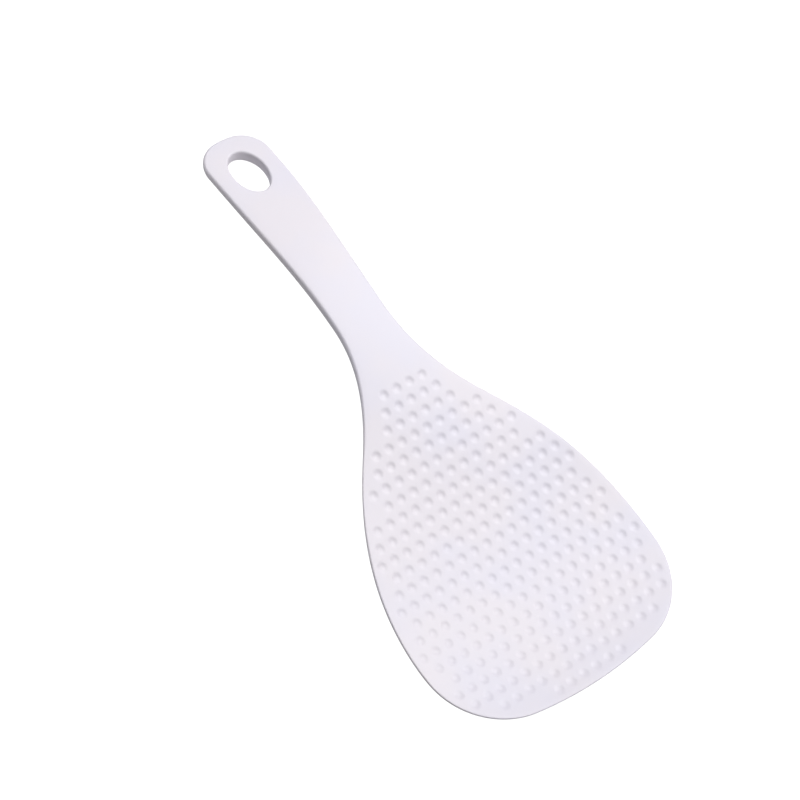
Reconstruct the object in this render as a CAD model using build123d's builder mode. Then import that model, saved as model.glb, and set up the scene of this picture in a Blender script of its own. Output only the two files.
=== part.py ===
# A white moulded rice paddle with a dimpled blade, lying face up on a table.
# It is one piece of plastic. X runs from the handle's end to the blade's tip and Z is up.
# The origin lies on the table, under the middle of the length and on the centre line.
# A station is a distance from the handle's end, measured along the table.
import os
from math import atan2, cos, degrees, pi

from build123d import *

os.makedirs("parts", exist_ok=True)

# Plan outline
overall_length = 212.0
blade_width = 92.2
grip_width = 23.8
waist_width = 18.9
end_setback = 2.2
grip_station = 11.5
waist_station = 76.5
shoulder_station = 116.3
shoulder_width = 48.2
shoulder_slope_share = 0.71
widest_station = 180.0
tip_setback = 6.2
tip_corner_width = 82.2
tip_corner_radius = 27.4
end_round_share = 0.85

# Side profile: the underside touches the table at the handle's end and at the belly of the blade
neck_clearance = 11.2
tip_clearance = 7.4
belly_station = 171.0

# Thickness along the centre line
handle_thickness = 5.0
blade_thickness = 2.6
tip_thickness = 2.0
thinning_start_station = 60.0
thinning_end_station = 150.0

# Bow across the width, as the rise or fall at the blade's widest edge
blade_dish = 3.1
handle_crown = 6.0
rim_thinning = 0.5
dish_start_station = 85.0
dish_end_station = 145.0

# The rim's softened edges
edge_bevel = 0.7

# Hanging hole, an oval along the handle
hole_length = 17.6
hole_width = 11.4
hole_station = 15.5
hole_edge_bevel = 0.5

# Dimples, row by row from the neck to the tip. Each row is centred, so odd and even counts stagger.
dimple_counts = (4, 5, 6, 9, 10, 12, 11, 14, 15, 16, 15, 16, 17, 16, 17, 18, 17, 16, 17, 16, 13, 6)
dimple_pitch = 5.0
dimple_diameter = 3.4
dimple_floor_diameter = 2.0
dimple_depth = 0.42
dimple_sides = 6
first_row_station = 102.7

# The loft and the cuts run past the finished shape by this much
overrun = 4.0
section_count = 13

blade_half = blade_width / 2
grip_half = grip_width / 2


def along(station):
    """The X of a station."""
    return station - overall_length / 2


def smooth_share(station, start, end):
    """0 before start, 1 after end and an even ease between them."""
    share = min(max((station - start) / (end - start), 0), 1)
    return share * share * (3 - 2 * share)


def underside_height(station):
    """The underside's height on the centre line: an arched handle, an easy fall, a dipping blade."""
    if station < waist_station:
        drop_share = ((waist_station - station) / waist_station) ** 2
        return neck_clearance * (1 - drop_share)
    if station < belly_station:
        turn = pi * (station - waist_station) / (belly_station - waist_station)
        return neck_clearance * (1 + cos(turn)) / 2
    rise_share = ((station - belly_station) / (overall_length - belly_station)) ** 2
    return tip_clearance * rise_share


def thickness(station):
    """The thickness on the centre line."""
    thinned_share = smooth_share(station, thinning_start_station, thinning_end_station)
    taper_share = max((station - thinning_end_station) / (overall_length - thinning_end_station), 0)
    to_blade = (handle_thickness - blade_thickness) * thinned_share
    to_tip = (blade_thickness - tip_thickness) * taper_share
    return handle_thickness - to_blade - to_tip


def top_bow(station):
    """The top face's rise at the blade's widest edge: crowned on the handle, dished on the blade."""
    dished_share = smooth_share(station, dish_start_station, dish_end_station)
    return (blade_dish + handle_crown) * dished_share - handle_crown


def underside_bow(station):
    """The underside's rise at the blade's widest edge."""
    dished_share = smooth_share(station, dish_start_station, dish_end_station)
    return handle_crown + (blade_dish + rim_thinning - handle_crown) * dished_share


def top_height(station, side):
    """The top face's height at a station, this far to the side of the centre line."""
    middle = underside_height(station) + thickness(station)
    return middle + top_bow(station) * (side / blade_half) ** 2


def loft_half(station):
    """Half the width of the loft, a little past the plan outline."""
    widened_share = smooth_share(station, waist_station, belly_station)
    return grip_half + (blade_half - grip_half) * widened_share + overrun


def handle_plane(station):
    """A plane square to the handle's thickness, just below the middle of its top face."""
    slope = 2 * neck_clearance * (waist_station - station) / waist_station**2
    return Plane(
        origin=(along(station), 0, underside_height(station) + thickness(station) - edge_bevel),
        x_dir=(1, 0, slope),
        z_dir=(-slope, 0, 1),
    )


def dimple_plane(station, side):
    """The plane that touches the top face at a dimple's middle."""
    step = dimple_diameter / 2
    slope_along = (top_height(station + step, side) - top_height(station - step, side)) / (2 * step)
    slope_across = (top_height(station, side + step) - top_height(station, side - step)) / (2 * step)
    middle = (along(station), side, top_height(station, side))
    return Plane(origin=middle, z_dir=(-slope_along, -slope_across, 1))


dimple_planes = []
for row, count in enumerate(dimple_counts):
    row_station = first_row_station + row * dimple_pitch
    for place in range(count):
        row_side = (place - (count - 1) / 2) * dimple_pitch
        dimple_planes.append(dimple_plane(row_station, row_side))

# What presses one dimple: a flat floor and a wall that slopes on up past the face. It has few sides,
# because there are hundreds of them.
with BuildPart() as dimple_punch:
    wall_run = (dimple_diameter - dimple_floor_diameter) / 2
    with BuildSketch(Plane.XY.offset(dimple_depth)):
        RegularPolygon(dimple_diameter / 2 + wall_run, dimple_sides, major_radius=False)
    extrude(amount=-2 * dimple_depth, taper=degrees(atan2(wall_run, dimple_depth)))

with BuildPart() as rice_paddle:
    # The plan outline, cut straight up and down
    with BuildSketch(Plane.XY.offset(-overrun)):
        with BuildLine():
            end_corner = (along(0) - overrun, grip_half)
            tip_corner = (along(overall_length - tip_setback), tip_corner_width / 2)
            widest_point = (along(widest_station), blade_half)
            Line((along(0) - overrun, 0), end_corner)
            grip_line = Line(end_corner, (along(grip_station), grip_half))
            Spline(
                grip_line @ 1,
                (along(waist_station), waist_width / 2),
                (along(shoulder_station), shoulder_width / 2),
                widest_point,
                tangents=((1, 0), (1, 0), (1, shoulder_slope_share), (1, 0)),
            )
            TangentArc(widest_point, tip_corner, tangent=(1, 0))
            TangentArc((along(overall_length), 0), tip_corner, tangent=(0, 1))
            mirror(about=Plane.XZ)
        make_face()
    extrude(amount=neck_clearance + handle_thickness + 2 * overrun)
    upright_edges = rice_paddle.edges().filter_by(Axis.Z).group_by(Axis.X)
    fillet(upright_edges[-1], radius=tip_corner_radius)

    # The handle's end, rounded off square to the handle's own slope
    with BuildSketch(handle_plane(0).offset(-overall_length)) as end_sketch:
        with BuildLine():
            TangentArc((0, 0), (end_setback, grip_half), tangent=(0, 1))
            Line((end_setback, grip_half), (waist_station, grip_half))
            Line((waist_station, grip_half), (waist_station, blade_width))
            Line((waist_station, blade_width), (2 * overall_length, blade_width))
            Line((2 * overall_length, blade_width), (2 * overall_length, 0))
            mirror(about=Plane.XZ)
        make_face()
        end_corners = end_sketch.vertices().group_by(Axis.X)[0]
        fillet(end_corners, radius=grip_half * end_round_share)
    extrude(amount=2 * overall_length, mode=Mode.INTERSECT)

    # The top and underside, lofted across the whole width
    section_step = (overall_length + 2 * overrun) / (section_count - 1)
    for section in range(section_count):
        station = section * section_step - overrun
        half = loft_half(station)
        low_middle = underside_height(station)
        top_middle = low_middle + thickness(station)
        low_edge = low_middle + underside_bow(station) * (half / blade_half) ** 2
        top_edge = top_middle + top_bow(station) * (half / blade_half) ** 2
        with BuildSketch(Plane.YZ.offset(along(station))):
            with BuildLine():
                Bezier((-half, top_edge), (0, 2 * top_middle - top_edge), (half, top_edge))
                Line((half, top_edge), (half, low_edge))
                Bezier((half, low_edge), (0, 2 * low_middle - low_edge), (-half, low_edge))
                Line((-half, low_edge), (-half, top_edge))
            make_face()
    loft(mode=Mode.INTERSECT)
    rim_edges = rice_paddle.edges() - rice_paddle.edges().filter_by(Axis.Z)
    chamfer(rim_edges, length=edge_bevel)

    # The hanging hole goes through square to the handle
    hole_plane = handle_plane(hole_station)
    with BuildSketch(hole_plane.offset(-handle_thickness - overrun)):
        Ellipse(hole_length / 2, hole_width / 2)
    extrude(amount=handle_thickness + 2 * overrun, mode=Mode.SUBTRACT)
    hole_axis = Axis(hole_plane.origin, hole_plane.z_dir)
    hole_edges = rice_paddle.edges(Select.LAST) - rice_paddle.edges(Select.LAST).filter_by(hole_axis)
    chamfer(hole_edges, length=hole_edge_bevel)

    # The dimples, each square to the face where it lies
    with Locations(*dimple_planes):
        add(dimple_punch.part, mode=Mode.SUBTRACT)

rice_paddle.part.label = "rice_paddle"
export_step(rice_paddle.part, "parts/rice_paddle.step")
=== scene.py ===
# A white moulded rice paddle with a dimpled blade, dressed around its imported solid.
# The paddle is one moulding, so there is one piece: a fine mesh of the whole body. Its plan outline
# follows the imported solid, and its faces follow the same heights that the solid was lofted through.
from math import cos, pi, radians, sin

import bmesh
import bpy
import numpy as np
from mathutils import Matrix, Vector
from mathutils.geometry import delaunay_2d_cdt
from mathutils.kdtree import KDTree


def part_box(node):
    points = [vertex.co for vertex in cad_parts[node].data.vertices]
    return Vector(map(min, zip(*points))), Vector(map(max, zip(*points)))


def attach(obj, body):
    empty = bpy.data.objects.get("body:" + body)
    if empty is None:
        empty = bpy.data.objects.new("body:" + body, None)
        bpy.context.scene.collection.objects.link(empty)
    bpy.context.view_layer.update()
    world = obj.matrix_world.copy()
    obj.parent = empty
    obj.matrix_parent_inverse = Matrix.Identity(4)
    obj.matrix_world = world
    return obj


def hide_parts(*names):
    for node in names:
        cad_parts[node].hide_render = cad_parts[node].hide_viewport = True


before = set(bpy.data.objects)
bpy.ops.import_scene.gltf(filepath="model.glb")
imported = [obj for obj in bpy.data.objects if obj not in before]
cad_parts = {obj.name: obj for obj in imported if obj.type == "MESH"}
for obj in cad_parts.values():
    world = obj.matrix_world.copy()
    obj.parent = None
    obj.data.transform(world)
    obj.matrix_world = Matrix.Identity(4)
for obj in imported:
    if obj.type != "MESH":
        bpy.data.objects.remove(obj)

bl_info = {
    "name": "Dimpled rice paddle",
    "version": (1, 0, 0),
    "blender": (4, 5, 0),
    "location": "View3D > Sidebar > Rice paddle",
    "description": "Builds a white moulded rice paddle with a dimpled blade",
    "category": "Add Mesh",
}

NODE = "rice_paddle"
MM = 0.001
CAD_LOW, CAD_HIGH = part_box(NODE)


# Sizes and colours


class PaddleSizes(bpy.types.PropertyGroup):
    """The paddle's sizes, measured as the solid's are: a station is a distance from the handle's end."""

    overall_length: bpy.props.FloatProperty(
        name="Overall length", description="From the handle's end to the blade's tip",
        default=CAD_HIGH.x - CAD_LOW.x, min=0.05, unit="LENGTH", precision=4,
    )
    blade_width: bpy.props.FloatProperty(
        name="Blade width", description="Across the blade where it is widest",
        default=CAD_HIGH.y - CAD_LOW.y, min=0.02, unit="LENGTH", precision=4,
    )
    waist_station: bpy.props.FloatProperty(
        name="Waist station", description="Where the handle is narrowest and stands highest",
        default=76.5 * MM, unit="LENGTH", precision=4,
    )
    belly_station: bpy.props.FloatProperty(
        name="Belly station", description="Where the blade's underside touches the table",
        default=171 * MM, unit="LENGTH", precision=4,
    )
    neck_clearance: bpy.props.FloatProperty(
        name="Neck clearance", description="Height of the underside over the table at the waist",
        default=11.2 * MM, unit="LENGTH", precision=4,
    )
    tip_clearance: bpy.props.FloatProperty(
        name="Tip clearance", description="Height of the underside over the table at the tip",
        default=7.4 * MM, unit="LENGTH", precision=4,
    )
    handle_thickness: bpy.props.FloatProperty(
        name="Handle thickness", description="Thickness on the centre line of the handle",
        default=5.0 * MM, unit="LENGTH", precision=4,
    )
    blade_thickness: bpy.props.FloatProperty(
        name="Blade thickness", description="Thickness on the centre line of the blade",
        default=2.6 * MM, unit="LENGTH", precision=4,
    )
    tip_thickness: bpy.props.FloatProperty(
        name="Tip thickness", description="Thickness on the centre line at the tip",
        default=2.0 * MM, unit="LENGTH", precision=4,
    )
    thinning_start: bpy.props.FloatProperty(
        name="Thinning start", description="Station where the handle starts to thin",
        default=60 * MM, unit="LENGTH", precision=4,
    )
    thinning_end: bpy.props.FloatProperty(
        name="Thinning end", description="Station where the blade's thickness is reached",
        default=150 * MM, unit="LENGTH", precision=4,
    )
    blade_dish: bpy.props.FloatProperty(
        name="Blade dish", description="Rise of the top face at the blade's widest edge",
        default=3.1 * MM, unit="LENGTH", precision=4,
    )
    handle_crown: bpy.props.FloatProperty(
        name="Handle crown", description="The handle's crown, carried on to the blade's widest edge",
        default=6.0 * MM, unit="LENGTH", precision=4,
    )
    rim_thinning: bpy.props.FloatProperty(
        name="Rim thinning", description="How much thinner the blade is at its widest edge",
        default=0.5 * MM, unit="LENGTH", precision=4,
    )
    dish_start: bpy.props.FloatProperty(
        name="Dish start", description="Station where the crown starts to turn into a dish",
        default=85 * MM, unit="LENGTH", precision=4,
    )
    dish_end: bpy.props.FloatProperty(
        name="Dish end", description="Station where the blade has its full dish",
        default=145 * MM, unit="LENGTH", precision=4,
    )
    edge_bevel: bpy.props.FloatProperty(
        name="Edge bevel", description="How far under the top face the handle's end reaches furthest",
        default=0.7 * MM, unit="LENGTH", precision=5,
    )
    rim_rounding: bpy.props.FloatProperty(
        name="Rim rounding", description="Radius of the outer edge above, where the body is thick enough",
        default=1.0 * MM, unit="LENGTH", precision=5,
    )
    low_rim_rounding: bpy.props.FloatProperty(
        name="Low rim rounding", description="Radius of the outer edge below, where the body is thick enough",
        default=2.7 * MM, unit="LENGTH", precision=5,
    )
    hole_rounding: bpy.props.FloatProperty(
        name="Hole rounding", description="Radius of the hanging hole's edge above",
        default=0.8 * MM, unit="LENGTH", precision=5,
    )
    low_hole_rounding: bpy.props.FloatProperty(
        name="Low hole rounding", description="Radius of the hanging hole's edge below",
        default=1.2 * MM, unit="LENGTH", precision=5,
    )


class OutlineSizes(bpy.types.PropertyGroup):
    """The sizes of the plan outline and of the hanging hole."""

    end_setback: bpy.props.FloatProperty(
        name="End setback", description="How far the handle's end bows out past its corners",
        default=2.2 * MM, unit="LENGTH", precision=5,
    )
    end_corner: bpy.props.FloatProperty(
        name="End corner", description="Radius of the handle end's two corners",
        default=10.115 * MM, unit="LENGTH", precision=5,
    )
    grip_width: bpy.props.FloatProperty(
        name="Grip width", description="Across the handle near its end",
        default=23.8 * MM, unit="LENGTH", precision=5,
    )
    grip_station: bpy.props.FloatProperty(
        name="Grip station", description="Where the handle starts to narrow",
        default=11.5 * MM, unit="LENGTH", precision=5,
    )
    waist_width: bpy.props.FloatProperty(
        name="Waist width", description="Across the handle where it is narrowest",
        default=18.9 * MM, unit="LENGTH", precision=5,
    )
    shoulder_station: bpy.props.FloatProperty(
        name="Shoulder station", description="Where the blade's sides spread fastest",
        default=116.3 * MM, unit="LENGTH", precision=5,
    )
    shoulder_width: bpy.props.FloatProperty(
        name="Shoulder width", description="Across the blade at the shoulder station",
        default=48.2 * MM, unit="LENGTH", precision=5,
    )
    shoulder_slope: bpy.props.FloatProperty(
        name="Shoulder slope", description="Spread of one side for each step along, at the shoulder",
        default=0.71,
    )
    widest_station: bpy.props.FloatProperty(
        name="Widest station", description="Where the blade is widest",
        default=180 * MM, unit="LENGTH", precision=5,
    )
    tip_setback: bpy.props.FloatProperty(
        name="Tip setback", description="How far the tip bows out past its corners",
        default=6.2 * MM, unit="LENGTH", precision=5,
    )
    tip_corner_width: bpy.props.FloatProperty(
        name="Tip corner width", description="Across the tip from corner to corner",
        default=82.2 * MM, unit="LENGTH", precision=5,
    )
    tip_corner: bpy.props.FloatProperty(
        name="Tip corner", description="Radius of the tip's two corners",
        default=27.4 * MM, unit="LENGTH", precision=5,
    )
    hole_length: bpy.props.FloatProperty(
        name="Hole length", description="Length of the hanging hole, along the handle",
        default=17.6 * MM, unit="LENGTH", precision=5,
    )
    hole_width: bpy.props.FloatProperty(
        name="Hole width", description="Width of the hanging hole",
        default=11.4 * MM, unit="LENGTH", precision=5,
    )
    hole_station: bpy.props.FloatProperty(
        name="Hole station", description="Where the hanging hole's middle lies",
        default=15.5 * MM, unit="LENGTH", precision=5,
    )


class DimpleSizes(bpy.types.PropertyGroup):
    """The sizes of the dimples in the blade."""

    pitch: bpy.props.FloatProperty(
        name="Pitch", description="From dimple to dimple along a row, and from row to row",
        default=5.0 * MM, unit="LENGTH", precision=4,
    )
    first_row: bpy.props.FloatProperty(
        name="First row", description="Station of the row nearest the neck",
        default=102.7 * MM, unit="LENGTH", precision=4,
    )
    lip_radius: bpy.props.FloatProperty(
        name="Lip radius", description="Radius at which a dimple's wall meets the face",
        default=2.0 * MM, unit="LENGTH", precision=5,
    )
    floor_radius: bpy.props.FloatProperty(
        name="Floor radius", description="Radius of a dimple's flat floor",
        default=0.3 * MM, unit="LENGTH", precision=5,
    )
    depth: bpy.props.FloatProperty(
        name="Depth", description="How deep the dimples nearest the neck are pressed",
        default=0.35 * MM, unit="LENGTH", precision=5,
    )
    tip_depth: bpy.props.FloatProperty(
        name="Tip depth", description="How deep the dimples nearest the tip are pressed",
        default=0.26 * MM, unit="LENGTH", precision=5,
    )


class PaddleColours(bpy.types.PropertyGroup):
    """The plastic's colours."""

    plastic: bpy.props.FloatVectorProperty(
        name="Plastic", description="The white of the moulding",
        default=(0.80, 0.775, 0.865), subtype="COLOR", min=0, max=1,
    )
    warm_cast: bpy.props.FloatVectorProperty(
        name="Warm cast", description="The faint pink cast in the white",
        default=(0.825, 0.785, 0.845), subtype="COLOR", min=0, max=1,
    )
    floor: bpy.props.FloatVectorProperty(
        name="Floor", description="The pale floor",
        default=(0.25, 0.25, 0.25), subtype="COLOR", min=0, max=1,
    )


class StageSizes(bpy.types.PropertyGroup):
    """The camera and the lights."""

    azimuth: bpy.props.FloatProperty(
        name="Azimuth", description="The camera's turn about the vertical, from looking along Y",
        default=radians(24.78), subtype="ANGLE",
    )
    elevation: bpy.props.FloatProperty(
        name="Elevation", description="The camera's height over the table, as an angle",
        default=radians(62.35), subtype="ANGLE",
    )
    roll: bpy.props.FloatProperty(
        name="Roll", description="The camera's turn about its own view",
        default=radians(33.265), subtype="ANGLE",
    )
    distance: bpy.props.FloatProperty(
        name="Distance", description="From the camera to the paddle's middle",
        default=670.8 * MM, unit="LENGTH",
    )
    aside: bpy.props.FloatProperty(
        name="Aside", description="How far right of the picture's middle the paddle's origin lies",
        default=-0.5 * MM, unit="LENGTH", precision=5,
    )
    above: bpy.props.FloatProperty(
        name="Above", description="How far above the picture's middle the paddle's origin lies",
        default=-2.89 * MM, unit="LENGTH", precision=5,
    )
    lens: bpy.props.FloatProperty(
        name="Lens", description="The camera's focal length in millimetres", default=95.03,
    )
    floor_size: bpy.props.FloatProperty(
        name="Floor size", description="Side of the floor", default=6.0, unit="LENGTH",
    )
    floor_glow: bpy.props.FloatProperty(
        name="Floor glow", description="How bright the floor looks to the camera", default=1.05,
    )
    room_light: bpy.props.FloatProperty(
        name="Room light", description="Strength of the even light from straight above", default=0.36,
    )
    floor_bounce: bpy.props.FloatProperty(
        name="Floor bounce", description="How bright the floor is to all but the camera", default=0.32,
    )
    light_scale: bpy.props.FloatProperty(
        name="Light scale", description="Scales the power of all the soft lights", default=1.065,
    )


# Dimples in each row, from the neck to the tip. Each row is centred, so odd and even counts stagger.
DIMPLE_COUNTS = (4, 5, 6, 9, 10, 12, 11, 14, 15, 16, 15, 16, 17, 16, 17, 18, 17, 16, 17, 16, 13, 6)


# The shape of the faces


# Rounds of the search for the place where a sloping line meets a curved face
FACE_SEARCHES = 5


def eased_share(value, start, end):
    """0 before start, 1 after end and an even ease between them."""
    share = np.clip((value - start) / (end - start), 0, 1)
    return share * share * (3 - 2 * share)


def underside_middle(sizes, station):
    """The underside's height on the centre line."""
    waist, belly, length = sizes.waist_station, sizes.belly_station, sizes.overall_length
    arched = sizes.neck_clearance * (1 - ((waist - station) / waist) ** 2)
    falling = sizes.neck_clearance * (1 + np.cos(pi * (station - waist) / (belly - waist))) / 2
    rising = sizes.tip_clearance * ((station - belly) / (length - belly)) ** 2
    return np.where(station < waist, arched, np.where(station < belly, falling, rising))


def thickness(sizes, station):
    """The thickness on the centre line."""
    thinned = eased_share(station, sizes.thinning_start, sizes.thinning_end)
    taper = np.maximum((station - sizes.thinning_end) / (sizes.overall_length - sizes.thinning_end), 0)
    to_blade = (sizes.handle_thickness - sizes.blade_thickness) * thinned
    to_tip = (sizes.blade_thickness - sizes.tip_thickness) * taper
    return sizes.handle_thickness - to_blade - to_tip


def face_heights(sizes, plan):
    """The heights of the top face and of the underside at points of the plan."""
    station = plan[:, 0] + sizes.overall_length / 2
    dished = eased_share(station, sizes.dish_start, sizes.dish_end)
    aside = (plan[:, 1] / (sizes.blade_width / 2)) ** 2
    top_bow = (sizes.blade_dish + sizes.handle_crown) * dished - sizes.handle_crown
    low_edge = sizes.blade_dish + sizes.rim_thinning
    low_bow = sizes.handle_crown + (low_edge - sizes.handle_crown) * dished
    low_middle = underside_middle(sizes, station)
    top_middle = low_middle + thickness(sizes, station)
    return top_middle + top_bow * aside, low_middle + low_bow * aside


def handle_slope(sizes, station):
    """How steeply the handle rises at a station, as height for each step along."""
    return 2 * sizes.neck_clearance * (sizes.waist_station - station) / sizes.waist_station**2


def square_places(sizes, points, station, which):
    """The plan places where lines that stand square to the handle at one station meet one of its faces.

    The points lie in the plane through that station, along the handle and across it.
    """
    slope = handle_slope(sizes, station)
    level = 1 / (1 + slope**2) ** 0.5
    middle = underside_middle(sizes, station) + thickness(sizes, station) - sizes.edge_bevel
    height = middle + points[:, 0] * slope * level
    rise = np.zeros(len(points))
    for _ in range(FACE_SEARCHES):
        along = station - sizes.overall_length / 2 + (points[:, 0] - rise * slope) * level
        places = np.column_stack([along, points[:, 1]])
        rise = (face_heights(sizes, places)[which == "low"] - height) / level
    return places


def dimple_places(dimples, sizes):
    """The plan places of the dimples' middles."""
    places = []
    for row, count in enumerate(DIMPLE_COUNTS):
        along = dimples.first_row + row * dimples.pitch - sizes.overall_length / 2
        for place in range(count):
            places.append((along, (place - (count - 1) / 2) * dimples.pitch))
    return np.array(places)


# The plan outline


# How far each flank point pulls its curve, as a share of the distance to the next point
GRIP_PULL_SHARE = 0.435
WAIST_PULL_SHARE = 0.386
SHOULDER_PULL_SHARE = 0.306
WIDEST_PULL_SHARE = 0.421
# The points that draw each curve of the outline, and the hanging hole's oval
CURVE_STEPS = 240
OVAL_STEPS = 4 * CURVE_STEPS
# Points closer than this, in metres, are one point of an outline
SAME_POINT = 1e-9


def arc_points(centre, radius, start, end):
    """Points on an arc, from one angle to another."""
    turns = np.linspace(start, end, CURVE_STEPS)
    return np.stack([centre[0] + radius * np.cos(turns), centre[1] + radius * np.sin(turns)], 1)


def flank_points(first, first_way, first_share, second, second_way, second_share):
    """Points on a smooth curve from one flank point to the next, with its own direction at each."""
    first, second = np.array(first), np.array(second)
    span = np.linalg.norm(second - first)
    pulled = first + span * first_share * np.array(first_way)
    reached = second - span * second_share * np.array(second_way)
    share = np.linspace(0, 1, CURVE_STEPS)[:, None]
    rest = 1 - share
    return (
        rest**3 * first
        + 3 * rest**2 * share * pulled
        + 3 * rest * share**2 * reached
        + share**3 * second
    )


def side_outline(sizes, outline):
    """One side of the plan outline, from the middle of the handle's end to the middle of the tip."""
    length, grip_half = sizes.overall_length, outline.grip_width / 2
    blade_half, tip_half = sizes.blade_width / 2, outline.tip_corner_width / 2

    # The handle's end: a shallow bow that turns a corner into the straight grip
    corner = outline.end_corner
    bow = (grip_half**2 + outline.end_setback**2) / (2 * outline.end_setback)
    rise = grip_half - corner
    run = bow - ((bow - corner) ** 2 - rise**2) ** 0.5
    meet = np.arctan2(rise, run - bow)
    end_bow = arc_points((bow, 0), bow, pi, meet)
    end_corner = arc_points((run, rise), corner, meet, pi / 2)

    # The flank: waist, shoulder and widest point
    along = (1, 0)
    spread = np.array((1, outline.shoulder_slope)) / (1 + outline.shoulder_slope**2) ** 0.5
    grip = (outline.grip_station, grip_half)
    waist = (sizes.waist_station, outline.waist_width / 2)
    shoulder = (outline.shoulder_station, outline.shoulder_width / 2)
    widest = (outline.widest_station, blade_half)
    narrowing = flank_points(grip, along, GRIP_PULL_SHARE, waist, along, WAIST_PULL_SHARE)
    spreading = flank_points(waist, along, WAIST_PULL_SHARE, shoulder, spread, SHOULDER_PULL_SHARE)
    filling = flank_points(shoulder, spread, SHOULDER_PULL_SHARE, widest, along, WIDEST_PULL_SHARE)

    # The tip: the side bends in, turns a corner and bows across
    corner = outline.tip_corner
    back = length - outline.tip_setback - outline.widest_station
    drop = blade_half - tip_half
    side_radius = (back**2 + drop**2) / (2 * drop)
    tip_radius = (tip_half**2 + outline.tip_setback**2) / (2 * outline.tip_setback)
    side_centre = np.array((outline.widest_station, blade_half - side_radius))
    tip_centre = np.array((length - tip_radius, 0))
    gap = tip_centre - side_centre
    apart = np.linalg.norm(gap)
    near = ((side_radius - corner) ** 2 - (tip_radius - corner) ** 2 + apart**2) / (2 * apart)
    off = ((side_radius - corner) ** 2 - near**2) ** 0.5
    square = np.array((-gap[1], gap[0])) / apart
    centres = [side_centre + gap / apart * near + square * off * way for way in (1, -1)]
    corner_centre = max(centres, key=lambda centre: centre[1])
    to_side = np.arctan2(*(corner_centre - side_centre)[::-1])
    to_tip = np.arctan2(*(corner_centre - tip_centre)[::-1])
    side_bend = arc_points(side_centre, side_radius, pi / 2, to_side)
    tip_corner = arc_points(corner_centre, corner, to_side, to_tip)
    tip_bow = arc_points(tip_centre, tip_radius, to_tip, 0)

    pieces = (end_bow, end_corner, narrowing, spreading, filling, side_bend, tip_corner, tip_bow)
    points = np.concatenate(pieces)
    points[:, 0] -= length / 2
    return points


def even_loop(points, step):
    """A closed loop again, with its points a step apart, and the outward direction at each point."""
    steps = np.linalg.norm(np.diff(points, axis=0, append=points[:1]), axis=1)
    points = points[steps > SAME_POINT]
    closed = np.vstack([points, points[:1]])
    travelled = np.concatenate([[0], np.cumsum(np.linalg.norm(np.diff(closed, axis=0), axis=1))])
    count = int(round(travelled[-1] / step))
    places = np.linspace(0, travelled[-1], count, endpoint=False)

    def at(distance):
        distance = distance % travelled[-1]
        return np.stack([np.interp(distance, travelled, closed[:, axis]) for axis in (0, 1)], 1)

    ahead = at(places + step / 2) - at(places - step / 2)
    outward = np.stack([ahead[:, 1], -ahead[:, 0]], 1)
    return at(places), outward / np.linalg.norm(outward, axis=1)[:, None]


# The mesh


# The spacing of the mesh's points
EDGE_STEP = 0.8 * MM
HOLE_STEP = 0.35 * MM
FACE_STEP = 1.7 * MM
UNDERSIDE_STEP = 2.4 * MM
ROUNDING_STEPS = 8
# Rows of points in a grid of even triangles lie this share of a step apart
ROW_SHARE = 3**0.5 / 2
# The most of the rim's height that each edge's rounding may take
ROUNDED_SHARES = {"top": 0.28, "low": 0.68}
# The part of the hole's half length and half width that is surely open
HOLE_SHARE = 0.99
# Rings of points round each dimple's middle: the radius as a share of the lip's, and the points in the ring
DIMPLE_RINGS = ((0.22, 6), (0.40, 10), (0.52, 14), (0.63, 16), (0.74, 18), (0.85, 20), (0.96, 20), (1.10, 22))
# How far from a dimple's middle the grid of points stays, as a share of the lip's radius
KEEP_OFF_SHARE = 1.25
# The triangles are found in millimetres, to this tolerance
TRIANGLE_TOLERANCE = 1e-5
# Only the triangles between the loops are kept, which is this setting of Blender's own function
INSIDE_THE_LOOPS = 1
# Points of the mesh closer than this, in metres, are merged, and edges shorter than this are closed up
MERGE_DISTANCE = 2e-6
SHORTEST_EDGE = 1e-7


def rounded_edge(sizes, plan, outward, lean, rounding, side):
    """Rings that turn a face over into the wall. The first lies on the face, the last on the wall.

    The lean says how far the wall moves along for each step down.
    """
    top, low = face_heights(sizes, plan)
    radius = np.minimum(rounding, ROUNDED_SHARES[side] * (top - low))
    rings = []
    for turn in np.linspace(0, pi / 2, ROUNDING_STEPS):
        drop = radius * (1 - cos(turn))
        spots = plan - outward * (radius * (1 - sin(turn)))[:, None]
        top, low = face_heights(sizes, spots)
        height = top - drop if side == "top" else low + drop
        leaned = lean * (drop if side == "top" else -drop)
        rings.append(np.column_stack([spots[:, 0] + leaned, spots[:, 1], height]))
    return rings


def spaced_points(loops, hole, step, clear, centres, keep_off):
    """Points a step apart all over a face, clear of its edges and of the dimples."""
    half_loop = loops[0][loops[0][:, 1] >= 0]
    half_loop = half_loop[np.argsort(half_loop[:, 0], kind="stable")]
    edge_points = np.concatenate(loops)
    edges = KDTree(len(edge_points))
    for index, (x, y) in enumerate(edge_points):
        edges.insert((x, y, 0), index)
    edges.balance()
    middles = KDTree(max(len(centres), 1))
    for index, (x, y) in enumerate(centres):
        middles.insert((x, y, 0), index)
    middles.balance()
    points = []
    row_step = step * ROW_SHARE
    low, high = edge_points.min(0), edge_points.max(0)
    for row in range(int((high[1] - low[1]) / row_step) + 2):
        y = low[1] + row * row_step
        for place in range(int((high[0] - low[0]) / step) + 2):
            x = low[0] + (place + (row % 2) / 2) * step
            if abs(y) >= np.interp(x, half_loop[:, 0], half_loop[:, 1]):
                continue
            if ((x - hole[0]) / hole[1]) ** 2 + (y / hole[2]) ** 2 < 1:
                continue
            if edges.find((x, y, 0))[2] < clear:
                continue
            if len(centres) and middles.find((x, y, 0))[2] < keep_off:
                continue
            points.append((x, y))
    return np.array(points)


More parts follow.
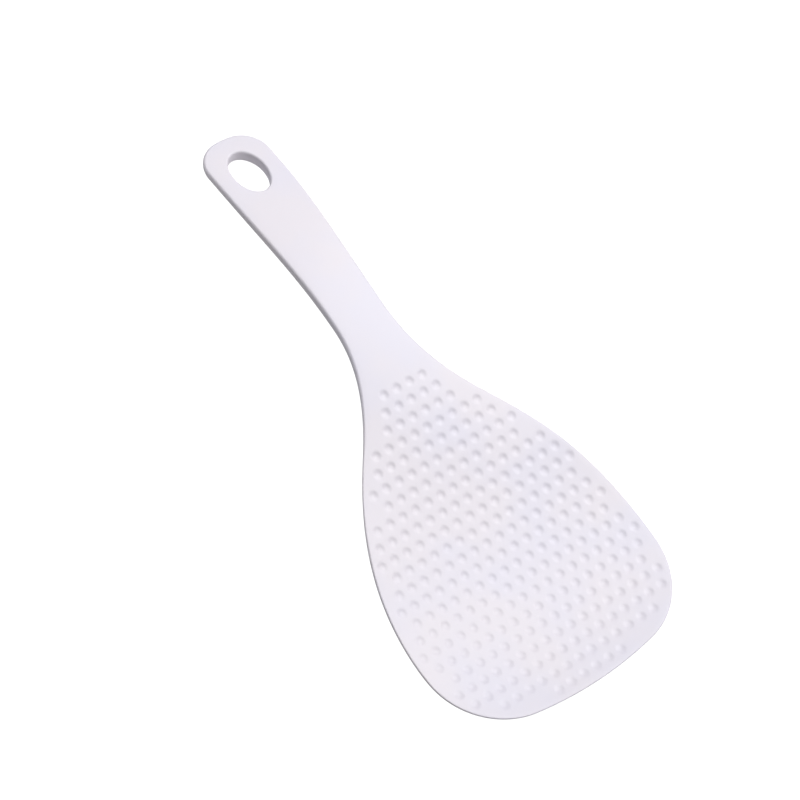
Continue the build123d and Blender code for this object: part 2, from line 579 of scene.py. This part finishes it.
def filled_face(loops, points):
    """Triangles over a face, between its outer loop and the hole's loop."""
    spots, links = [], []
    for loop in loops:
        first = len(spots)
        spots += [Vector(spot) / MM for spot in loop.tolist()]
        links += [(first + place, first + (place + 1) % len(loop)) for place in range(len(loop))]
    hole_spots = range(first, len(spots))
    spots += [Vector(spot) / MM for spot in points.tolist()]
    filled = delaunay_2d_cdt(spots, links, [], INSIDE_THE_LOOPS, TRIANGLE_TOLERANCE)
    corners, _, faces, sources, _, _ = filled
    plan = np.array([corner[:] for corner in corners]) * MM

    # A triangle that fills the hole has all its corners on the hole's loop
    round_hole = {index for index, source in enumerate(sources) if any(spot in hole_spots for spot in source)}
    kept = [tuple(face) for face in faces if not round_hole.issuperset(face)]
    return plan, kept


def bridged(rings):
    """Faces between neighbouring rings of one length, whose points are numbered on from ring to ring."""
    faces = []
    count = len(rings[0])
    for ring in range(len(rings) - 1):
        for place in range(count):
            after = (place + 1) % count
            first, second = ring * count, (ring + 1) * count
            faces.append((first + place, second + place, second + after, first + after))
    return faces


def rim_walls(sizes, outline):
    """The rings that round the outer edge and the hole's edge, for the top and for the underside."""
    side = side_outline(sizes, outline)
    loop = np.concatenate([side * (1, -1), side[::-1]])
    outer, outer_way = even_loop(loop, EDGE_STEP)
    turns = np.linspace(0, 2 * pi, OVAL_STEPS, endpoint=False)
    oval = np.stack([outline.hole_length / 2 * np.cos(turns), outline.hole_width / 2 * np.sin(turns)], 1)
    inner, inner_way = even_loop(oval, HOLE_STEP)

    # The handle's end and its hole stand square to the handle, the rest of the rim straight up
    station = outer[:, 0] + sizes.overall_length / 2
    from_end = np.column_stack([station, outer[:, 1]])
    end_share = 1 - eased_share(station, outline.grip_station, 2 * outline.grip_station)
    outer_lean = handle_slope(sizes, 0) * end_share
    hole_lean = handle_slope(sizes, outline.hole_station) * np.ones(len(inner))
    walls = {}
    rim_roundings = {"top": sizes.rim_rounding, "low": sizes.low_rim_rounding}
    hole_roundings = {"top": sizes.hole_rounding, "low": sizes.low_hole_rounding}
    for which in ("top", "low"):
        ended = square_places(sizes, from_end, 0, which)
        rim = outer + (ended - outer) * end_share[:, None]
        oval_rim = square_places(sizes, inner, outline.hole_station, which)
        walls[which] = (
            rounded_edge(sizes, rim, outer_way, outer_lean, rim_roundings[which], which),
            rounded_edge(sizes, oval_rim, -inner_way, hole_lean, hole_roundings[which], which),
        )
    return walls


def dimpled_points(loops, hole, centres, lip_radius):
    """Points all over the top face, with rings of them at each dimple."""
    keep_off = lip_radius * KEEP_OFF_SHARE
    spread = [spaced_points(loops, hole, FACE_STEP, EDGE_STEP, centres, keep_off)]
    for number, (share, count) in enumerate(DIMPLE_RINGS):
        angles = (np.arange(count) + (number % 2) / 2) * 2 * pi / count
        ring = np.stack([np.cos(angles), np.sin(angles)], 1) * share * lip_radius
        spread.append((centres[:, None] + ring[None]).reshape(-1, 2))
    spread.append(centres)
    return np.concatenate(spread)


def paddle_mesh(sizes, outline, dimples):
    """The whole body as one closed mesh, before its dimples are pressed, and the dimples' middles."""
    walls = rim_walls(sizes, outline)
    centres = dimple_places(dimples, sizes)
    vertices, faces = [], []

    def add(points, polygons):
        base = sum(len(chunk) for chunk in vertices)
        vertices.append(points)
        faces.extend([tuple(base + corner for corner in polygon) for polygon in polygons])

    for which in ("top", "low"):
        outer_rings, inner_rings = walls[which]
        loops = [outer_rings[0][:, :2], inner_rings[0][:, :2]]
        low_corner, high_corner = loops[1].min(0), loops[1].max(0)
        hole = ((low_corner[0] + high_corner[0]) / 2, *((high_corner - low_corner) / 2 * HOLE_SHARE))
        if which == "top":
            points = dimpled_points(loops, hole, centres, dimples.lip_radius)
        else:
            points = spaced_points(loops, hole, UNDERSIDE_STEP, EDGE_STEP, [], 0)
        plan, triangles = filled_face(loops, points)
        top, low = face_heights(sizes, plan)
        add(np.column_stack([plan, top if which == "top" else low]), triangles)
        for rings in (outer_rings, inner_rings):
            add(np.concatenate(rings), bridged(rings))
    for upper, lower in zip(walls["top"], walls["low"]):
        add(np.concatenate([upper[-1], lower[-1]]), bridged([upper[-1], lower[-1]]))

    mesh = bpy.data.meshes.new("paddle_body")
    mesh.from_pydata(np.concatenate(vertices).tolist(), [], faces)
    shell = bmesh.new()
    shell.from_mesh(mesh)
    bmesh.ops.remove_doubles(shell, verts=shell.verts, dist=MERGE_DISTANCE)
    bmesh.ops.dissolve_degenerate(shell, edges=shell.edges, dist=SHORTEST_EDGE)
    # A spaced point just past the tip lies outside the loops, so no face holds it
    stray = [point for point in shell.verts if not point.link_faces]
    bmesh.ops.delete(shell, geom=stray, context="VERTS")
    bmesh.ops.recalc_face_normals(shell, faces=shell.faces)
    open_edges = [edge for edge in shell.edges if len(edge.link_faces) != 2]
    for face in shell.faces:
        face.smooth = True
    shell.to_mesh(mesh)
    shell.free()
    if open_edges:
        raise RuntimeError(f"the paddle's mesh isn't closed: {len(open_edges)} open edges")
    return mesh, centres


# The dimples, pressed with Geometry Nodes


def dimple_tree():
    """A tree that sinks the top face near each of the dimples' middles, and its inputs' identifiers."""
    tree = bpy.data.node_groups.new("Dimple press", "GeometryNodeTree")
    face = tree.interface
    face.new_socket("Body", in_out="INPUT", socket_type="NodeSocketGeometry")
    inputs = {}
    for name, kind in (
        ("Middles", "NodeSocketObject"),
        ("Lip radius", "NodeSocketFloat"),
        ("Floor radius", "NodeSocketFloat"),
        ("Depth", "NodeSocketFloat"),
        ("Tip depth", "NodeSocketFloat"),
        ("First row", "NodeSocketFloat"),
        ("Last row", "NodeSocketFloat"),
        ("Plastic", "NodeSocketMaterial"),
    ):
        inputs[name] = face.new_socket(name, in_out="INPUT", socket_type=kind).identifier
    face.new_socket("Body", in_out="OUTPUT", socket_type="NodeSocketGeometry")
    new, link = tree.nodes.new, tree.links.new

    given = new("NodeGroupInput")
    middles = new("GeometryNodeObjectInfo")
    middles.transform_space = "ORIGINAL"
    link(given.outputs["Middles"], middles.inputs["Object"])
    near = new("GeometryNodeProximity")
    near.target_element = "POINTS"
    link(middles.outputs["Geometry"], near.inputs[0])

    # The dimples get shallower row by row from the neck to the tip
    place, along = new("GeometryNodeInputPosition"), new("ShaderNodeSeparateXYZ")
    link(place.outputs[0], along.inputs[0])
    depth = new("ShaderNodeMapRange")
    link(along.outputs["X"], depth.inputs["Value"])
    link(given.outputs["First row"], depth.inputs["From Min"])
    link(given.outputs["Last row"], depth.inputs["From Max"])
    link(given.outputs["Depth"], depth.inputs["To Min"])
    link(given.outputs["Tip depth"], depth.inputs["To Max"])

    # The press fades from the floor's rim to the lip
    press = new("ShaderNodeMapRange")
    press.interpolation_type = "SMOOTHSTEP"
    link(near.outputs["Distance"], press.inputs["Value"])
    link(given.outputs["Floor radius"], press.inputs["From Min"])
    link(given.outputs["Lip radius"], press.inputs["From Max"])
    link(depth.outputs["Result"], press.inputs["To Min"])
    press.inputs["To Max"].default_value = 0

    # Only the top face is pressed, straight into its own surface
    normal = new("GeometryNodeInputNormal")
    upward = new("ShaderNodeSeparateXYZ")
    link(normal.outputs[0], upward.inputs[0])
    is_top = new("FunctionNodeCompare")
    is_top.data_type = "FLOAT"
    is_top.operation = "GREATER_THAN"
    link(upward.outputs["Z"], is_top.inputs[0])
    is_top.inputs[1].default_value = 0
    inward = new("ShaderNodeVectorMath")
    inward.operation = "SCALE"
    link(normal.outputs[0], inward.inputs[0])
    down = new("ShaderNodeMath")
    down.operation = "MULTIPLY"
    down.inputs[1].default_value = -1
    link(press.outputs["Result"], down.inputs[0])
    link(down.outputs[0], inward.inputs["Scale"])
    sink = new("GeometryNodeSetPosition")
    link(given.outputs["Body"], sink.inputs["Geometry"])
    link(is_top.outputs[0], sink.inputs["Selection"])
    link(inward.outputs[0], sink.inputs["Offset"])

    real = new("GeometryNodeRealizeInstances")
    link(sink.outputs[0], real.inputs[0])
    finish = new("GeometryNodeSetMaterial")
    link(real.outputs[0], finish.inputs["Geometry"])
    link(given.outputs["Plastic"], finish.inputs["Material"])
    out = new("NodeGroupOutput")
    link(finish.outputs[0], out.inputs[0])
    return tree, inputs


# The plastic


# Patches and grain, in repeats to the metre
PATCH_SCALE = 38
GRAIN_SCALE = 2600
# Finer steps of noise laid over each
PATCH_DETAIL = 2
GRAIN_DETAIL = 3
# The noise's usual span, stretched so that both colours of the cast are reached
PATCH_LOW = 0.38
PATCH_HIGH = 0.62
# The roughness of the face where the grain is low and where it is high
GLOSS_LOW = 0.28
GLOSS_HIGH = 0.42
# How strong and how deep the grain's relief is
GRAIN_STRENGTH = 0.25
GRAIN_DEPTH = 0.02 * MM
PLASTIC_IOR = 1.49


def plastic_group():
    """The finish of a moulded plastic: a faint cast in patches, a little uneven gloss and a fine grain."""
    group = bpy.data.node_groups.new("Moulded plastic", "ShaderNodeTree")
    face = group.interface
    for name, kind in (
        ("Plastic", "NodeSocketColor"), ("Cast", "NodeSocketColor"),
        ("Patches", "NodeSocketFloat"), ("Grain", "NodeSocketFloat"),
        ("Gloss low", "NodeSocketFloat"), ("Gloss high", "NodeSocketFloat"),
    ):
        face.new_socket(name, in_out="INPUT", socket_type=kind)
    for name, kind in (
        ("Colour", "NodeSocketColor"),
        ("Roughness", "NodeSocketFloat"),
        ("Height", "NodeSocketFloat"),
    ):
        face.new_socket(name, in_out="OUTPUT", socket_type=kind)
    new, link = group.nodes.new, group.links.new
    given, out = new("NodeGroupInput"), new("NodeGroupOutput")
    place = new("ShaderNodeTexCoord")

    patches = new("ShaderNodeTexNoise")
    link(place.outputs["Object"], patches.inputs["Vector"])
    link(given.outputs["Patches"], patches.inputs["Scale"])
    patches.inputs["Detail"].default_value = PATCH_DETAIL
    even = new("ShaderNodeMapRange")
    even.inputs["From Min"].default_value = PATCH_LOW
    even.inputs["From Max"].default_value = PATCH_HIGH
    link(patches.outputs["Fac"], even.inputs["Value"])
    tint = new("ShaderNodeMix")
    tint.data_type = "RGBA"
    link(even.outputs["Result"], tint.inputs["Factor"])
    link(given.outputs["Plastic"], tint.inputs["A"])
    link(given.outputs["Cast"], tint.inputs["B"])
    link(tint.outputs["Result"], out.inputs["Colour"])

    grain = new("ShaderNodeTexNoise")
    link(place.outputs["Object"], grain.inputs["Vector"])
    link(given.outputs["Grain"], grain.inputs["Scale"])
    grain.inputs["Detail"].default_value = GRAIN_DETAIL
    gloss = new("ShaderNodeMapRange")
    link(grain.outputs["Fac"], gloss.inputs["Value"])
    link(given.outputs["Gloss low"], gloss.inputs["To Min"])
    link(given.outputs["Gloss high"], gloss.inputs["To Max"])
    link(gloss.outputs["Result"], out.inputs["Roughness"])
    link(grain.outputs["Fac"], out.inputs["Height"])
    return group


def plastic_material(colours):
    """White polypropylene with a satin face."""
    material = bpy.data.materials.new("white_plastic")
    material.use_nodes = True
    tree = material.node_tree
    shader = tree.nodes["Principled BSDF"]
    finish = tree.nodes.new("ShaderNodeGroup")
    finish.node_tree = plastic_group()
    finish.inputs["Plastic"].default_value = (*colours.plastic, 1)
    finish.inputs["Cast"].default_value = (*colours.warm_cast, 1)
    finish.inputs["Patches"].default_value = PATCH_SCALE
    finish.inputs["Grain"].default_value = GRAIN_SCALE
    finish.inputs["Gloss low"].default_value = GLOSS_LOW
    finish.inputs["Gloss high"].default_value = GLOSS_HIGH
    tree.links.new(finish.outputs["Colour"], shader.inputs["Base Color"])
    tree.links.new(finish.outputs["Roughness"], shader.inputs["Roughness"])
    grain = tree.nodes.new("ShaderNodeBump")
    grain.inputs["Strength"].default_value = GRAIN_STRENGTH
    grain.inputs["Distance"].default_value = GRAIN_DEPTH
    tree.links.new(finish.outputs["Height"], grain.inputs["Height"])
    tree.links.new(grain.outputs["Normal"], shader.inputs["Normal"])
    shader.inputs["IOR"].default_value = PLASTIC_IOR
    return material


class PADDLE_OT_body(bpy.types.Operator):
    """Build the paddle: one moulding with a handle, a hanging hole and a dimpled blade"""

    bl_idname = "paddle.body"
    bl_label = "Paddle"

    def execute(self, context):
        scene = context.scene
        sizes, outline = scene.paddle_sizes, scene.paddle_outline
        dimples = scene.paddle_dimples
        mesh, centres = paddle_mesh(sizes, outline, dimples)
        top, _ = face_heights(sizes, centres)
        places = bpy.data.meshes.new("dimple_middles")
        places.from_pydata(np.column_stack([centres, top]).tolist(), [], [])
        middles = bpy.data.objects.new("dimple_middles", places)
        scene.collection.objects.link(middles)
        body = bpy.data.objects.new("paddle", mesh)
        scene.collection.objects.link(body)

        tree, inputs = dimple_tree()
        press = body.modifiers.new("Dimple press", "NODES")
        press.node_group = tree
        press[inputs["Middles"]] = middles
        press[inputs["Lip radius"]] = dimples.lip_radius
        press[inputs["Floor radius"]] = dimples.floor_radius
        press[inputs["Depth"]] = dimples.depth
        press[inputs["Tip depth"]] = dimples.tip_depth
        press[inputs["First row"]] = float(centres[0, 0])
        press[inputs["Last row"]] = float(centres[-1, 0])
        press[inputs["Plastic"]] = plastic_material(scene.paddle_colours)
        ready = body.evaluated_get(context.evaluated_depsgraph_get())
        pressed = bpy.data.meshes.new_from_object(ready)
        body.modifiers.clear()
        body.data = pressed
        bpy.data.objects.remove(middles)
        if len(pressed.polygons) < len(mesh.polygons) or not pressed.materials:
            raise RuntimeError("the dimples weren't pressed")
        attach(body, "root")
        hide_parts(NODE)
        return {"FINISHED"}


# The stage


# The width of the camera's sensor, in millimetres
SENSOR_WIDTH = 36

# Each soft light: where it stands seen from the paddle, how far off, its width in metres and its watts
SOFT_LIGHTS = (
    ("far side", (-0.07, 0.48, 0.87), 0.88, 0.85, 5.6),
    ("tip side", (0.75, 0.35, 0.6), 1.3, 0.8, 1.9),
    ("handle side", (-0.8, 0.1, 0.6), 0.6, 0.4, 0.7),
)


def camera_axes(stage):
    """The camera's right, up and backward directions, and its place."""
    turn, lift, roll = stage.azimuth, stage.elevation, stage.roll
    back = Vector((sin(turn) * cos(lift), -cos(turn) * cos(lift), sin(lift)))
    level = Vector((cos(turn), sin(turn), 0))
    square = back.cross(level)
    right = level * cos(roll) + square * sin(roll)
    up = square * cos(roll) - level * sin(roll)
    place = back * stage.distance - right * stage.aside - up * stage.above
    return right, up, back, place


def matrix_from(right, up, back, place):
    """The matrix of an object that looks against back."""
    matrix = Matrix((right, up, back)).transposed().to_4x4()
    matrix.translation = place
    return matrix


def soft_light(scene, name, way, distance, size, power):
    """A round soft light that faces the paddle from one direction."""
    light = bpy.data.lights.new(name, "AREA")
    light.shape = "DISK"
    light.size = size
    light.energy = power
    toward = Vector(way).normalized()
    lamp = bpy.data.objects.new(name, light)
    turned = toward.to_track_quat("Z", "Y").to_matrix().to_4x4()
    lamp.matrix_world = Matrix.Translation(toward * distance) @ turned
    scene.collection.objects.link(lamp)


class PADDLE_OT_stage(bpy.types.Operator):
    """Set the floor, the soft lights and the camera"""

    bl_idname = "paddle.stage"
    bl_label = "Stage"

    def execute(self, context):
        scene = context.scene
        stage, colours = scene.paddle_stage, scene.paddle_colours
        right, up, back, place = camera_axes(stage)

        lens = bpy.data.cameras.new("camera")
        lens.lens = stage.lens
        lens.sensor_width = SENSOR_WIDTH
        camera = bpy.data.objects.new("camera", lens)
        camera.matrix_world = matrix_from(right, up, back, place)
        scene.collection.objects.link(camera)
        scene.camera = camera

        half = stage.floor_size / 2
        corners = [(-half, -half, 0), (half, -half, 0), (half, half, 0), (-half, half, 0)]
        mesh = bpy.data.meshes.new("floor")
        mesh.from_pydata(corners, [], [(0, 1, 2, 3)])
        floor = bpy.data.objects.new("floor", mesh)
        scene.collection.objects.link(floor)
        paint = bpy.data.materials.new("floor")
        paint.use_nodes = True
        shader = paint.node_tree.nodes["Principled BSDF"]
        shader.inputs["Base Color"].default_value = (*colours.floor, 1)
        shader.inputs["Roughness"].default_value = 1
        shader.inputs["Specular IOR Level"].default_value = 0
        shader.inputs["Emission Color"].default_value = (1, 1, 1, 1)
        # The floor looks white, as a lit sweep does, and casts little of that light back
        path = paint.node_tree.nodes.new("ShaderNodeLightPath")
        glow = paint.node_tree.nodes.new("ShaderNodeMapRange")
        glow.inputs["To Min"].default_value = stage.floor_bounce
        glow.inputs["To Max"].default_value = stage.floor_glow
        paint.node_tree.links.new(path.outputs["Is Camera Ray"], glow.inputs["Value"])
        paint.node_tree.links.new(glow.outputs["Result"], shader.inputs["Emission Strength"])
        mesh.materials.append(paint)

        for name, way, distance, size, power in SOFT_LIGHTS:
            soft_light(scene, name, way, distance, size, power * stage.light_scale)

        room = bpy.data.worlds.new("room")
        room.use_nodes = True
        sky = room.node_tree.nodes["Background"]
        sky.inputs["Color"].default_value = (1, 1, 1, 1)
        # The room is brightest straight above and dimmer down to the level of the table, and looks white
        new, link = room.node_tree.nodes.new, room.node_tree.links.new
        way, upward, fade = new("ShaderNodeTexCoord"), new("ShaderNodeSeparateXYZ"), new("ShaderNodeMapRange")
        link(way.outputs["Generated"], upward.inputs[0])
        link(upward.outputs["Z"], fade.inputs["Value"])
        fade.inputs["To Max"].default_value = stage.room_light
        path, seen = new("ShaderNodeLightPath"), new("ShaderNodeMath")
        seen.operation = "MAXIMUM"
        link(fade.outputs["Result"], seen.inputs[0])
        link(path.outputs["Is Camera Ray"], seen.inputs[1])
        link(seen.outputs[0], sky.inputs["Strength"])
        scene.world = room
        scene.view_settings.view_transform = "Standard"
        scene.view_settings.look = "None"
        return {"FINISHED"}


class PADDLE_PT_panel(bpy.types.Panel):
    """The paddle's steps in the sidebar"""

    bl_idname = "PADDLE_PT_panel"
    bl_label = "Rice paddle"
    bl_space_type = "VIEW_3D"
    bl_region_type = "UI"
    bl_category = "Rice paddle"

    def draw(self, context):
        for step in STEPS:
            self.layout.operator(step.bl_idname)


STEPS = (PADDLE_OT_body, PADDLE_OT_stage)
GROUPS = {
    "paddle_sizes": PaddleSizes,
    "paddle_outline": OutlineSizes,
    "paddle_dimples": DimpleSizes,
    "paddle_colours": PaddleColours,
    "paddle_stage": StageSizes,
}


def register():
    for group in GROUPS.values():
        bpy.utils.register_class(group)
    for step in (*STEPS, PADDLE_PT_panel):
        bpy.utils.register_class(step)
    for name, group in GROUPS.items():
        setattr(bpy.types.Scene, name, bpy.props.PointerProperty(type=group))


def unregister():
    for name in GROUPS:
        delattr(bpy.types.Scene, name)
    for kind in (PADDLE_PT_panel, *STEPS, *GROUPS.values()):
        bpy.utils.unregister_class(kind)


def main():
    register()
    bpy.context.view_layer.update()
    bpy.ops.paddle.body()
    bpy.ops.paddle.stage()


if __name__ == "__main__":
    main()
